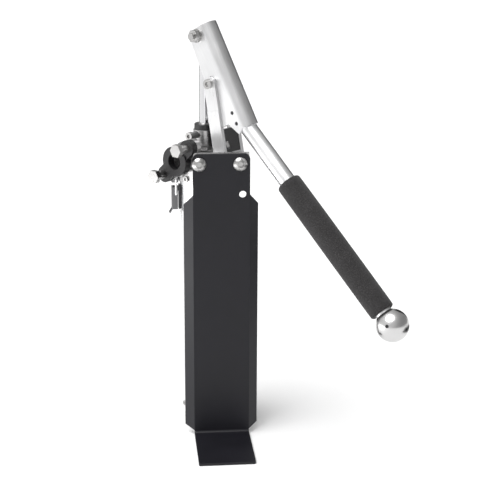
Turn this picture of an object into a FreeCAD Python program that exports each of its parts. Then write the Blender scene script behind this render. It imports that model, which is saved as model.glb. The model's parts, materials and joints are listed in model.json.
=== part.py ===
"""Hand-operated filling pump on a folded foot plate.

A pail wall stands in the gap between the pump tube and the foot plate. Pushing the long handle down
lifts the piston rod; lifting the handle lowers it. Millimetres, +Z up, the foot reaches towards -Y.
The origin is the centre of the foot's sole, on the ground.

Two frames are used. The plate frame is the model's own X, Y, Z. The arm frame (along, across, up) stands
on the tube's axis and is turned by arm_turn, so that `along` runs down the handle and `across` runs
through the pivot pins, away from the outlet.
"""
import FreeCAD, Part
import math
import os
import re
import Sketcher
from FreeCAD import Placement, Rotation, Vector
from types import SimpleNamespace

SIZES = {
    # foot plate
    "plate_width": 86.0, "plate_thick": 4.0, "plate_top": 452.0, "plate_corner": 8.0,
    "foot_depth": 112.0, "foot_corner": 3.0, "bend_inner": 4.0,
    "flange_width": 19.4, "flange_fold": 45.0, "flange_drop": 62.0, "shoulder_drop": 17.0,
    "flange_low": 8.0, "flange_rise": 6.0,
    "hang_hole_dia": 11.0, "hang_hole_along": 32.0, "hang_hole_drop": 62.0,
    "screw_left": 33.5, "screw_right": 28.0, "screw_drop": 15.5,
    "screw_dia": 12.0, "screw_head_dia": 21.0, "screw_head_tall": 6.6, "screw_dome": 13.02, "screw_key": 8.0,
    "screw_clearance": 0.4, "screw_long": 26.0,
    "bar_thick": 5.0, "bar_tall": 29.5, "bar_margin": 1.0, "bar_over": 1.5,
    # pump tube and head
    "tube_along": 20.5, "tube_gap": 34.5, "tube_dia": 77.0, "tube_wall": 3.0, "tube_low": 14.0,
    "tube_seat": 14.0,
    "arm_turn": 45.0,
    "head_wall": 3.2, "head_tall": 54.0, "head_roof": 5.0,
    "seat_clearance": 0.15, "seal_thick": 1.5, "link_room": 1.0,
    "neck_wall": 4.5, "neck_tall": 24.5, "packing_wall": 4.5, "packing_tall": 18.0, "packing_rings": 3,
    "gland_inset": 1.5, "gland_tall": 9.0, "gland_spigot": 5.0,
    "wiper_wall": 3.0, "wiper_tall": 1.2,
    "rod_dia": 16.0, "rod_clearance": 0.3,
    "arm_thick": 31.4, "arm_nose": 14.0,
    "boss_dia": 19.0,
    "plug_rise": 18.0, "plug_dia": 13.0, "plug_tall": 6.0, "plug_boss_dia": 11.0, "plug_reach": 31.0,
    "head_screw_rise": 7.0, "head_screw_dia": 9.0, "head_screw_tall": 3.5, "head_screw_count": 4,
    # outlet
    "outlet_drop": 15.5, "outlet_bore": 22.0, "outlet_flange_bore": 24.0, "outlet_out": 14.3,
    "outlet_boss_dia": 42.0, "outlet_flange_thick": 10.0, "outlet_hub_dia": 46.0, "outlet_hub_tall": 2.5,
    "outlet_bolt_gap": 64.7, "outlet_ear_dia": 25.0, "outlet_pad_thick": 8.0,
    "gasket_thick": 1.0, "outlet_bolt_dia": 12.0, "outlet_bolt_hex": 18.0, "outlet_bolt_head": 8.0,
    "outlet_spacer_dia": 13.6, "outlet_spacer_tall": 17.0, "outlet_tap": 8.0,
    # intake and foot valve
    "intake_tall": 34.0, "intake_wall": 6.0, "intake_ring_dia": 60.0, "intake_ring_tall": 4.0,
    "intake_leg_count": 4, "intake_leg_wide": 9.0, "intake_seat_tall": 11.9,
    "valve_hole_dia": 40.0, "valve_disc_dia": 52.0, "valve_disc_thick": 5.0, "valve_lift": 7.0,
    "valve_stem_dia": 8.0, "intake_screw_up": 33.0, "intake_screw_dia": 8.0, "intake_screw_tall": 3.0,
    "intake_screw_count": 3, "cage_thick": 2.5, "cage_rim": 6.0, "cage_spoke": 6.0, "cage_hub": 3.0,
    # rod, piston
    "pin_a_rise": 167.5, "pin_a_dia": 10.0, "eye_dia": 23.0, "eye_thick": 20.0, "eye_neck_dia": 21.0,
    "eye_neck_tall": 26.0, "piston_up": 165.0, "piston_gap": 0.6, "piston_plate_thick": 7.0,
    "cup_thick": 8.0, "cup_lip": 10.0, "cup_wall": 4.0, "piston_port_dia": 11.0, "piston_port_count": 6,
    "flap_dia": 56.0, "flap_thick": 3.0, "flap_lift": 6.0, "rod_nut_hex": 24.0, "rod_nut_tall": 10.0,
    "stop_wall": 5.0, "stop_tall": 10.0, "stop_gap": 0.5, "rod_tail": 4.0, "piston_port_out": 19.04,
    "flap_rest": 0.2, "piston_rim": 1.0, "keeper_rim": 3.0,
    # lever
    "lever_tilt": 29.7, "pin_a_down": 10.9, "pin_a_in": 11.5, "pin_b_down": 84.3, "pin_b_in": 21.1,
    "channel_fit": 0.6, "channel_wall": 3.0, "channel_long": 166.4, "channel_edge": 26.0,
    "channel_flare": 11.3, "channel_notch": 151.0, "channel_notch_in": 20.9, "tongue_long": 172.3,
    "tongue_in": 8.4, "channel_corner": 11.0, "pin_b_dia": 12.0, "bush_wall": 2.0, "run_clearance": 0.06,
    "handle_dia": 25.4, "handle_wall": 2.0, "handle_start": 100.0, "handle_bend": 17.0, "bend_past": 2.0,
    "handle_long": 363.8, "knob_dia": 48.0, "knob_socket": 16.0, "knob_screw_dia": 5.0, "knob_gap": -1.0,
    "knob_screw_turn": 250.5, "knob_screw_deep": 7.0, "knob_screw_long": 5.0, "knob_key_deep": 2.0,
    "grip_dia": 38.0, "grip_start": 103.0, "grip_corner": 2.5, "grip_clearance": 0.2,
    "set_screw_dia": 6.0, "set_screw_one": 138.8, "set_screw_two": 156.0, "set_screw_in": 5.7,
    "set_screw_sunk": 0.8, "set_key_deep": 1.2, "set_screw_gap": 0.05,
    "bolt_a_hex": 17.0, "bolt_a_head": 6.5, "bolt_a_nut": 8.0, "bolt_a_tail": 5.0,
    "washer_dia": 21.0, "washer_thick": 2.0, "thread_gap": 0.02,
    # link
    "pin_c_out": 10.6, "pin_c_drop": 22.0, "link_wide": 22.0, "link_thick": 6.0, "link_gap": 0.4,
    "link_step": 83.0, "link_relief": 0.8, "bolt_step": 0.1, "link_block_low": 18.0,
    "link_block_tall": 35.0, "link_block_wide": 16.0, "link_slot_wide": 5.5, "link_slot_tall": 6.0,
    "link_slot_across": -9.5, "link_slot_up": 26.0, "link_slot_lean": 0.4,
    "bolt_b_dia": 15.0, "bolt_b_tall": 4.5, "pin_c_dia": 10.0, "pin_c_head_dia": 16.0, "pin_c_head_tall": 2.2,
    # toggle latches
    "latch_drop": 14.0, "latch_wide": 15.0, "latch_base_thick": 2.5, "latch_base_tall": 38.0,
    "latch_ear_out": 8.0, "latch_ear_thick": 1.8, "latch_ear_tall": 6.0, "latch_heel": 3.0,
    "latch_cheek": 8.5, "latch_pin_dia": 4.0, "latch_pin_out": 7.0, "latch_lever_long": 32.0,
    "latch_inset": 2.0, "latch_base_over": 6.0, "latch_plate_out": 0.6, "latch_tip_inset": 5.0,
    "latch_weld": 1.0, "latch_hook_in": 0.5, "latch_lever_thick": 2.0, "latch_tip": 8.0,
    "latch_tip_turn": 30.0, "latch_throw": 8.0, "latch_wire": 3.0, "latch_bail_tall": 26.0,
    "latch_strike_deep": 10.0, "latch_strike_tall": 6.0, "latch_fit": 0.3, "latch_gap": 0.5,
    "latch_play": 0.2,
}

# Heights and fits that follow from the sizes above: each name is the sum of its terms.
FITS = {
    "head_top": ("plate_top",),
    "head_low": ("head_top", "-head_tall"),
    "tube_high": ("head_low", "tube_seat"),
    "head_screw_up": ("head_low", "head_screw_rise"),
    "latch_up": ("head_low", "-latch_drop"),
    "plug_up": ("head_top", "plug_rise"),
    "outlet_up": ("head_top", "-outlet_drop"),
    "screw_up": ("plate_top", "-screw_drop"),
    "hang_hole_up": ("plate_top", "-hang_hole_drop"),
    "flange_top": ("plate_top", "-flange_drop"),
    "pin_a_up": ("head_top", "pin_a_rise"),
    "pin_c_up": ("head_top", "-pin_c_drop"),
    "packing_dia": ("rod_dia", "packing_wall", "packing_wall"),
    "neck_dia": ("packing_dia", "neck_wall", "neck_wall"),
    "gland_dia": ("neck_dia", "-gland_inset", "-gland_inset"),
    "wiper_dia": ("rod_dia", "wiper_wall", "wiper_wall"),
    "stop_dia": ("rod_dia", "stop_wall", "stop_wall"),
    "channel_wide": ("handle_dia", "channel_wall", "channel_wall", "channel_fit"),
}
for name, terms in FITS.items():
    SIZES[name] = sum(-SIZES[term[1:]] if term[0] == "-" else SIZES[term] for term in terms)
SIZES["tube_back"] = SIZES["tube_gap"] + SIZES["tube_dia"] / 2
SIZES["outlet_face"] = SIZES["tube_dia"] / 2 + SIZES["head_wall"] + SIZES["outlet_out"]
SIZES["pin_c_along"] = SIZES["tube_dia"] / 2 + SIZES["head_wall"] + SIZES["pin_c_out"]

s = SimpleNamespace(**SIZES)
doc = FreeCAD.newDocument("FillingPump")
sheet = doc.addObject("Spreadsheet::Sheet", "Sizes")
for row, (alias, number) in enumerate(SIZES.items(), start=1):
    sheet.set(f"A{row}", alias)
    sheet.set(f"B{row}", str(number))
    sheet.setAlias(f"B{row}", alias)
doc.recompute()

nodes = []
WORD = re.compile(r"\b(" + "|".join(sorted(SIZES, key=len, reverse=True)) + r")\b")
X_AXIS, Y_AXIS, Z_AXIS = Vector(1, 0, 0), Vector(0, 1, 0), Vector(0, 0, 1)
ACROSS = Rotation(X_AXIS, 90)  # turns a cylinder's Z to -Y
KEY_START = 0.4  # a hexagon key starts at this share of a screw head's height
SCREW_START = 135.0  # where the first intake screw stands on its ring


# ---------------------------------------------------------------- places worked out from the sizes
def direction(angle):
    """A unit vector in the arm frame's upright plane, `angle` degrees from straight down."""
    return Vector(math.sin(math.radians(angle)), 0, -math.cos(math.radians(angle)))


plate_front = s.foot_depth / 2
plate_back = plate_front + s.plate_thick
tube_axis = Vector(-s.tube_along, plate_front + s.tube_back, 0)
tube_radius = s.tube_dia / 2
tube_inside = tube_radius - s.tube_wall
head_radius = tube_radius + s.head_wall
rod_radius = s.rod_dia / 2
neck_top = s.head_top + s.neck_tall
gland_top = neck_top + s.gland_tall
chamber_top = s.head_top - s.head_roof

arm_frame = Placement(tube_axis, Rotation(Z_AXIS, -s.arm_turn))
down_lever = direction(s.lever_tilt)
into_lever = Vector(-math.cos(math.radians(s.lever_tilt)), 0, -math.sin(math.radians(s.lever_tilt)))
pin_a = Vector(0, 0, s.pin_a_up)
lever_top = pin_a - down_lever * s.pin_a_down - into_lever * s.pin_a_in
pin_b = lever_top + down_lever * s.pin_b_down + into_lever * s.pin_b_in
pin_c = Vector(s.pin_c_along, 0, s.pin_c_up)
link_long = (pin_b - pin_c).Length
link_tilt = math.degrees(math.atan2(pin_b.x - pin_c.x, pin_b.z - pin_c.z))
bend_point = lever_top + down_lever * (s.channel_long + s.bend_past)
down_handle = direction(s.lever_tilt + s.handle_bend)
knob_centre = bend_point + down_handle * s.handle_long
cheek_out = s.channel_wide / 2
link_in = cheek_out + s.link_gap
link_out = link_in + s.link_thick

lever_frame = arm_frame * Placement(lever_top, Rotation(Y_AXIS, 90 - s.lever_tilt))
link_frame = arm_frame * Placement(pin_c, Rotation(Y_AXIS, link_tilt))
handle_frame = arm_frame * Placement(bend_point, Rotation(Y_AXIS, 180 - s.lever_tilt - s.handle_bend))


def arm(along, across, up, turn=Rotation()):
    return arm_frame * Placement(Vector(along, across, up), turn)


# ---------------------------------------------------------------- small makers
def bound(feature, **sizes):
    """Binds properties to the sheet: words that name a size become references to its cell."""
    for name, text in sizes.items():
        feature.setExpression(name, WORD.sub(r"Sizes.\1", str(text)))
    return feature


def box(long, wide, tall, place=Placement(), centred="xy"):
    item = bound(doc.addObject("Part::Box", "Box"), Length=long, Width=wide, Height=tall)
    doc.recompute()
    shift = Vector(-item.Length.Value / 2 if "x" in centred else 0,
                   -item.Width.Value / 2 if "y" in centred else 0,
                   -item.Height.Value / 2 if "z" in centred else 0)
    item.Placement = place * Placement(shift, Rotation())
    return item


def rod(radius, tall, place=Placement()):
    item = bound(doc.addObject("Part::Cylinder", "Cylinder"), Radius=radius, Height=tall)
    item.Placement = place
    return item


def hexagon(across_flats, tall, place=Placement()):
    item = bound(doc.addObject("Part::Prism", "Prism"), Circumradius=f"({across_flats}) / sqrt(3)",
                 Height=tall)
    item.Polygon = 6
    item.Placement = place
    return item


def ball(radius, place):
    item = bound(doc.addObject("Part::Sphere", "Sphere"), Radius=radius)
    item.Placement = place
    return item


def ring(outer, inner, tall, place=Placement()):
    return cut(rod(outer, tall, place), rod(inner, tall, place))


def cut(base, *tools):
    result = doc.addObject("Part::Cut", "Cut")
    result.Base = base
    result.Tool = tools[0] if len(tools) == 1 else fuse(*tools)
    return result


def fuse(*items):
    result = doc.addObject("Part::MultiFuse", "Fuse")
    result.Shapes = list(items)
    return result


def common(*items):
    result = doc.addObject("Part::MultiCommon", "Common")
    result.Shapes = list(items)
    return result


def group(*items):
    result = doc.addObject("Part::Compound", "Group")
    result.Links = list(items)
    return result


def node(label, item, place=None):
    """Names a finished sub-part and, where it is built in a frame of its own, puts it in place."""
    item.Label = label
    if place is not None:
        item.Placement = place * item.Placement
    nodes.append(item)
    return item


def sketched(points, plane):
    """A new body with a closed outline of straight lines on one of its origin planes.

    Each point is a pair of expressions; every corner is held by two dimensions bound to the sheet.
    """
    body = doc.addObject("PartDesign::Body", "Body")
    sketch = body.newObject("Sketcher::SketchObject", "Outline")
    support = next(item for item in body.Origin.OriginFeatures if item.Role == plane)
    sketch.AttachmentSupport = [(support, "")]
    sketch.MapMode = "FlatFace"
    helper = doc.addObject("App::FeaturePython", "Corner")
    helper.addProperty("App::PropertyFloat", "Value")
    numbers = []
    for pair in points:
        spot = []
        for text in pair:
            helper.setExpression("Value", WORD.sub(r"Sizes.\1", str(text)))
            helper.recompute()
            spot.append(helper.Value)
        numbers.append(spot)
    doc.removeObject(helper.Name)
    count = len(points)
    for index in range(count):
        start, end = numbers[index], numbers[(index + 1) % count]
        sketch.addGeometry(Part.LineSegment(Vector(*start, 0), Vector(*end, 0)), False)
    for index in range(count):
        sketch.addConstraint(Sketcher.Constraint("Coincident", index, 2, (index + 1) % count, 1))
    for index, (pair, spot) in enumerate(zip(points, numbers)):
        for kind, text, value, axis in (("DistanceX", pair[0], spot[0], -2),
                                        ("DistanceY", pair[1], spot[1], -1)):
            if abs(value) < 1e-9:
                sketch.addConstraint(Sketcher.Constraint("PointOnObject", index, 1, axis))
                continue
            first, last = ((-1, 1), (index, 1)) if value > 0 else ((index, 1), (-1, 1))
            held = sketch.addConstraint(Sketcher.Constraint(kind, *first, *last, abs(value)))
            sketch.setExpression(f"Constraints[{held}]", "abs(" + WORD.sub(r"Sizes.\1", str(text)) + ")")
    return body, sketch


def turned(points):
    """A turned piece: an outline of (radius, height) pairs spun about Z."""
    body, sketch = sketched(points, "XZ_Plane")
    spin = body.newObject("PartDesign::Revolution", "Turned")
    spin.Profile = sketch
    spin.ReferenceAxis = (sketch, ["V_Axis"])
    spin.Angle = 360.0
    return body


def padded(points, thick, plane="XZ_Plane", midway=True):
    """A flat piece: an outline in the body's upright plane, made thick across it."""
    body, sketch = sketched(points, plane)
    pad = body.newObject("PartDesign::Pad", "Pad")
    pad.Profile = sketch
    pad.Midplane = midway
    bound(pad, Length=thick)
    return body


def rounded(item, size, pick):
    """Fillets the edges of a Part feature for which pick(edge) is true."""
    doc.recompute()
    result = doc.addObject("Part::Fillet", "Rounded")
    result.Base = item
    chosen = [number for number, edge in enumerate(item.Shape.Edges, start=1) if pick(edge)]
    if not chosen:
        raise ValueError("no edge to round on " + item.Label)
    result.Edges = [(number, size, size) for number in chosen]
    return result


def upright_at(x, y, reach=0.5):
    def pick(edge):
        middle = edge.CenterOfMass
        lined = abs(edge.BoundBox.XLength) < reach and abs(edge.BoundBox.YLength) < reach
        return lined and math.hypot(abs(middle.x) - x, middle.y - y) < reach
    return pick


def button_screw(place):
    """A button-head socket screw whose shank points along -Z and whose head stands on the plane Z = 0."""
    dome = common(ball("screw_dome", place * Placement(Vector(0, 0, s.screw_head_tall - s.screw_dome),
                                                       Rotation())),
                  rod("screw_head_dia / 2", "screw_head_tall", place))
    shank = rod("screw_dia / 2", "screw_long", place * Placement(Vector(0, 0, -s.screw_long), Rotation()))
    key = hexagon("screw_key", "screw_head_tall",
                  place * Placement(Vector(0, 0, s.screw_head_tall * KEY_START), Rotation()))
    return cut(fuse(dome, shank), key)


def around(count, start, radius, up, inward=False):
    """Places on a ring about the tube's axis, Z pointing outwards."""
    for index in range(count):
        angle = start + 360.0 * index / count
        turn = Rotation(Z_AXIS, angle) * Rotation(Y_AXIS, 90)
        yield arm_frame * Placement(Rotation(Z_AXIS, angle).multVec(Vector(radius, 0, up)), turn)


# ---------------------------------------------------------------- foot plate
def make_foot_plate():
    panel = box("plate_width", "plate_thick", "plate_top", Placement(Vector(0, plate_front, 0), Rotation()),
                "x")
    sole = box("plate_width", "foot_depth + plate_thick", "plate_thick",
               Placement(Vector(0, -plate_front, 0), Rotation()), "x")
    panel = rounded(panel, s.plate_corner,
                    lambda edge: edge.BoundBox.ZMin > s.plate_top - 0.5 and edge.BoundBox.XLength < 0.5)
    sole = rounded(sole, s.foot_corner, upright_at(s.plate_width / 2, -plate_front))
    folded = fuse(panel, sole)

    def along_x(y, z):
        def pick(edge):
            middle = edge.CenterOfMass
            return edge.BoundBox.XLength > s.plate_width / 2 and math.hypot(middle.y - y,
                                                                            middle.z - z) < 0.5
        return pick

    folded = rounded(folded, s.bend_inner, along_x(plate_front, s.plate_thick))
    folded = rounded(folded, s.bend_inner + s.plate_thick - 0.5, along_x(plate_back, 0))
    outline = [("0", "flange_low"), ("flange_width", "flange_low + flange_rise"),
               ("flange_width", "flange_top - shoulder_drop"), ("0", "flange_top")]
    wings = []
    for side in (1, -1):
        wing = padded(outline, "plate_thick", midway=False)
        wing.Placement = Placement(Vector(s.plate_width / 2, plate_front, 0),
                                   Rotation(Z_AXIS, s.flange_fold))
        doc.recompute()
        inside = wing.Shape.BoundBox.XMin < s.plate_width / 2 - s.plate_thick * 0.9
        if inside or wing.Shape.BoundBox.YMin < plate_front - 0.01:
            wing.Placement = wing.Placement * Placement(Vector(0, s.plate_thick, 0), Rotation())
        if side < 0:
            mirror = doc.addObject("Part::Mirroring", "Mirror")
            mirror.Source = wing
            mirror.Normal = X_AXIS
            wing = mirror
        wings.append(wing)
    holes = []
    for x in (-s.screw_left, s.screw_right):
        holes.append(rod("screw_dia / 2 + screw_clearance", "plate_thick * 3",
                         Placement(Vector(x, plate_front + s.plate_thick * 2, s.screw_up), ACROSS)))
    holes.append(rod("hang_hole_dia / 2", "plate_thick * 3",
                     Placement(Vector(s.hang_hole_along, plate_front + s.plate_thick * 2, s.hang_hole_up),
                               ACROSS)))
    node("foot_plate", cut(fuse(folded, *wings), *holes))


def make_mount_bar():
    wide = "plate_width - 2 * bar_margin"
    low = s.plate_top + s.bar_over - s.bar_tall
    bar = box(wide, "bar_thick", "bar_tall", Placement(Vector(0, plate_back, low), Rotation()), "x")
    holes = [rod("screw_dia / 2 + screw_clearance", "bar_thick * 3",
                 Placement(Vector(x, plate_back + s.bar_thick * 2, s.screw_up), ACROSS))
             for x in (-s.screw_left, s.screw_right)]
    along, up = bolt_offsets()[0]
    room = rod("outlet_ear_dia / 2 + link_room", "outlet_face * 2", arm(along, 0, s.outlet_up + up, ACROSS))
    node("mount_bar", cut(bar, room, *holes))


def make_plate_screws():
    screws = [button_screw(Placement(Vector(x, plate_front, s.screw_up), ACROSS))
              for x in (-s.screw_left, s.screw_right)]
    node("plate_screws", group(*screws))


# ---------------------------------------------------------------- pump tube and head
def make_pump_tube():
    tube = ring("tube_dia / 2", "tube_dia / 2 - tube_wall", "tube_high - tube_low",
                Placement(tube_axis + Vector(0, 0, s.tube_low), Rotation()))
    holes = [rod("intake_screw_dia / 4 + screw_clearance / 2", "tube_wall * 3", place)
             for place in around(s.intake_screw_count, SCREW_START, tube_radius - s.tube_wall * 1.5,
                                 s.intake_screw_up)]
    node("pump_tube", cut(tube, *holes))


def bolt_offsets():
    """The two outlet bolts, up and to the right, down and to the left, seen from outside the outlet."""
    half = s.outlet_bolt_gap / 2 * math.sqrt(0.5)
    return [(half, half), (-half, -half)]


def outlet_plate(dia, thick, face, hub_dia):
    """A two-bolt oval plate across the outlet, from `face` outwards."""
    pieces = [rod(f"({hub_dia}) / 2", thick, arm(0, -face, s.outlet_up, ACROSS))]
    for along, up in bolt_offsets():
        pieces.append(rod(f"({dia}) / 2", thick, arm(along, -face, s.outlet_up + up, ACROSS)))
    web = arm_frame * Placement(Vector(0, -face, s.outlet_up), Rotation(Y_AXIS, -45) * ACROSS)
    pieces.append(box("outlet_bolt_gap", f"({dia}) * 0.98", thick, web))
    return fuse(*pieces)


def make_head_block():
    body = rod("tube_dia / 2 + head_wall", "head_top - head_low",
               Placement(tube_axis + Vector(0, 0, s.head_low), Rotation()))
    neck = rod("neck_dia / 2", "neck_tall + head_roof",
               Placement(tube_axis + Vector(0, 0, chamber_top), Rotation()))
    arm_box = box("pin_c_along", "arm_thick", "arm_nose * 2", arm(0, 0, s.pin_c_up), "yz")
    nose = rod("arm_nose", "arm_thick", arm(pin_c.x, s.arm_thick / 2, pin_c.z, ACROSS))
    outlet = rod("outlet_boss_dia / 2", "outlet_face", arm(0, 0, s.outlet_up, ACROSS))
    pad = outlet_plate("outlet_ear_dia", "outlet_pad_thick", s.outlet_face - s.outlet_pad_thick,
                       "outlet_boss_dia")
    plug_boss = rod("plug_boss_dia / 2", "plug_reach", arm(0, 0, s.plug_up, ACROSS))
    bar_back = plate_back + s.bar_thick
    bosses = []
    for x in (-s.screw_left, s.screw_right):
        bosses.append(rod("boss_dia / 2", "screw_long + tube_wall",
                          Placement(Vector(x, bar_back + s.screw_long + s.tube_wall, s.screw_up), ACROSS)))
    solid = fuse(body, neck, arm_box, nose, outlet, pad, plug_boss, *bosses)

    socket = rod("tube_dia / 2 + seat_clearance", "tube_high + seal_thick + seat_clearance - head_low",
                 Placement(tube_axis + Vector(0, 0, s.head_low), Rotation()))
    chamber = rod("tube_dia / 2 - tube_wall", "head_top - head_roof - tube_high",
                  Placement(tube_axis + Vector(0, 0, s.tube_high), Rotation()))
    bore = rod("rod_dia / 2 + rod_clearance", "head_top + neck_tall", Placement(tube_axis, Rotation()))
    packing = rod("packing_dia / 2", "packing_tall + gland_spigot",
                  Placement(tube_axis + Vector(0, 0, neck_top - s.packing_tall - s.gland_spigot),
                            Rotation()))
    port = rod("outlet_bore / 2", "outlet_face * 2", arm(0, 0, s.outlet_up, ACROSS))
    pivot = rod("pin_c_dia / 2 + run_clearance", "arm_thick * 2",
                arm(pin_c.x, s.arm_thick, pin_c.z, ACROSS))
    tools = [socket, chamber, bore, packing, port, pivot]
    for along, up in bolt_offsets():
        tools.append(rod("outlet_bolt_dia / 2", "outlet_pad_thick * 3",
                         arm(along, -s.outlet_face + s.outlet_tap, s.outlet_up + up, ACROSS)))
    for x in (-s.screw_left, s.screw_right):
        tools.append(rod("screw_dia / 2", "screw_long",
                         Placement(Vector(x, plate_front + s.screw_long, s.screw_up), ACROSS)))
    tools.append(outlet_plate("outlet_ear_dia + link_room", "outlet_face", s.outlet_face,
                              "outlet_hub_dia + link_room"))
    lean = math.radians(link_tilt)
    half_bar = s.link_wide / 2 * math.cos(lean) + s.link_room
    bar_near = pin_c.x - half_bar + s.pin_c_drop * math.tan(lean)
    for side in (-1, 1):
        middle = side * (link_in - s.link_gap / 2 + head_radius / 2)
        tools.append(box("head_top", "tube_dia / 2 + head_wall", "head_top",
                         arm(bar_near, middle, s.tube_high + s.seal_thick + s.head_wall), "y"))
    block_corner = Vector(s.link_wide / 2 - s.link_relief - s.link_block_wide - s.seat_clearance, 0,
                          s.link_block_low - s.seat_clearance)
    tools.append(box("link_block_wide + 2 * seat_clearance", "channel_wide + 2 * (link_gap + seat_clearance)",
                     "link_block_tall", link_frame * Placement(block_corner, Rotation()), "y"))
    node("head_block", cut(solid, *tools))


def make_gland():
    low = neck_top - s.packing_tall - s.gland_spigot
    tall = s.packing_tall / s.packing_rings
    rings = []
    for index in range(int(s.packing_rings)):
        place = Placement(tube_axis + Vector(0, 0, low + tall * index), Rotation())
        rings.append(ring("packing_dia / 2 - seat_clearance", "rod_dia / 2 + run_clearance",
                          "packing_tall / packing_rings - seat_clearance", place))
    node("gland_packing", group(*rings))
    spigot = [("rod_dia / 2 + rod_clearance", "-gland_spigot"),
              ("packing_dia / 2 - seat_clearance", "-gland_spigot"),
              ("packing_dia / 2 - seat_clearance", "0")]
    cap = [("gland_dia / 2", "0"), ("gland_dia / 2", "gland_tall - 1"), ("gland_dia / 2 - 1", "gland_tall"),
           ("wiper_dia / 2 + seat_clearance", "gland_tall"),
           ("wiper_dia / 2 + seat_clearance", "gland_tall - wiper_tall"),
           ("rod_dia / 2 + rod_clearance", "gland_tall - wiper_tall")]
    node("gland_nut", turned(spigot + cap), Placement(tube_axis + Vector(0, 0, neck_top), Rotation()))
    wiper = [("rod_dia / 2 + run_clearance", "0"), ("wiper_dia / 2", "0"), ("wiper_dia / 2", "wiper_tall"),
             ("rod_dia / 2 + wiper_tall", "wiper_tall + 1"), ("rod_dia / 2 + run_clearance",
                                                              "wiper_tall + 1")]
    node("rod_wiper", turned(wiper), Placement(tube_axis + Vector(0, 0, gland_top - s.wiper_tall),
                                               Rotation()))


def make_head_fasteners():
    place = arm(0, -s.plug_reach, s.plug_up, ACROSS)
    head = cut(rod("plug_dia / 2", "plug_tall", place),
               hexagon("plug_dia * 0.45", "plug_tall",
                       arm(0, -s.plug_reach - s.plug_tall * 0.45, s.plug_up, ACROSS)))
    node("bleed_plug", head)
    screws = []
    for place in around(s.head_screw_count, 270.0, head_radius, s.head_screw_up):
        head = rod("head_screw_dia / 2", "head_screw_tall", place)
        key = hexagon("head_screw_dia * 0.5", "head_screw_tall",
                      place * Placement(Vector(0, 0, s.head_screw_tall * KEY_START), Rotation()))
        screws.append(cut(head, key))
    node("head_screws", group(*screws))
    seal = ring("tube_dia / 2", "tube_dia / 2 - tube_wall", "seal_thick",
                Placement(tube_axis + Vector(0, 0, s.tube_high), Rotation()))
    node("tube_seal", seal)


def make_outlet():
    face = s.outlet_face
    bore = rod("outlet_bore / 2", "outlet_face", arm(0, -face + 1, s.outlet_up, ACROSS))
    holes = [rod("outlet_bolt_dia / 2 + screw_clearance", "outlet_face",
                 arm(along, -face + 1, s.outlet_up + up, ACROSS)) for along, up in bolt_offsets()]
    gasket = outlet_plate("outlet_ear_dia - 1", "gasket_thick", face, "outlet_hub_dia - 2")
    node("outlet_gasket", cut(gasket, bore, *holes))
    face += s.gasket_thick
    oval = outlet_plate("outlet_ear_dia", "outlet_flange_thick", face, "outlet_hub_dia")
    hub = rod("outlet_hub_dia / 2", "outlet_flange_thick + outlet_hub_tall",
              arm(0, -face, s.outlet_up, ACROSS))
    room = [rod("outlet_ear_dia / 2", "outlet_hub_tall * 2",
                arm(along, -face - s.outlet_flange_thick, s.outlet_up + up, ACROSS))
            for along, up in bolt_offsets()]
    holes = [rod("outlet_bolt_dia / 2 + screw_clearance", "outlet_face",
                 arm(along, -face + 1, s.outlet_up + up, ACROSS)) for along, up in bolt_offsets()]
    bore = rod("outlet_flange_bore / 2", "outlet_face", arm(0, -face + 1, s.outlet_up, ACROSS))
    node("outlet_flange", cut(cut(fuse(oval, hub), *room), bore, *holes))
    face += s.outlet_flange_thick
    spacers = []
    bolts = []
    tail = s.outlet_face - s.outlet_tap + 1
    for along, up in bolt_offsets():
        spacers.append(ring("outlet_spacer_dia / 2", "outlet_bolt_dia / 2 + screw_clearance / 4",
                            "outlet_spacer_tall", arm(along, -face, s.outlet_up + up, ACROSS)))
        head_face = face + s.outlet_spacer_tall
        head = hexagon("outlet_bolt_hex", "outlet_bolt_head",
                       arm(along, -head_face, s.outlet_up + up, ACROSS))
        shank = rod("outlet_bolt_dia / 2 - thread_gap",
                    "outlet_spacer_tall + outlet_flange_thick + gasket_thick + outlet_tap - 1",
                    arm(along, -tail, s.outlet_up + up, ACROSS))
        bolts.append(fuse(head, shank))
    node("outlet_spacers", group(*spacers))
    node("outlet_bolts", group(*bolts))


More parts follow.
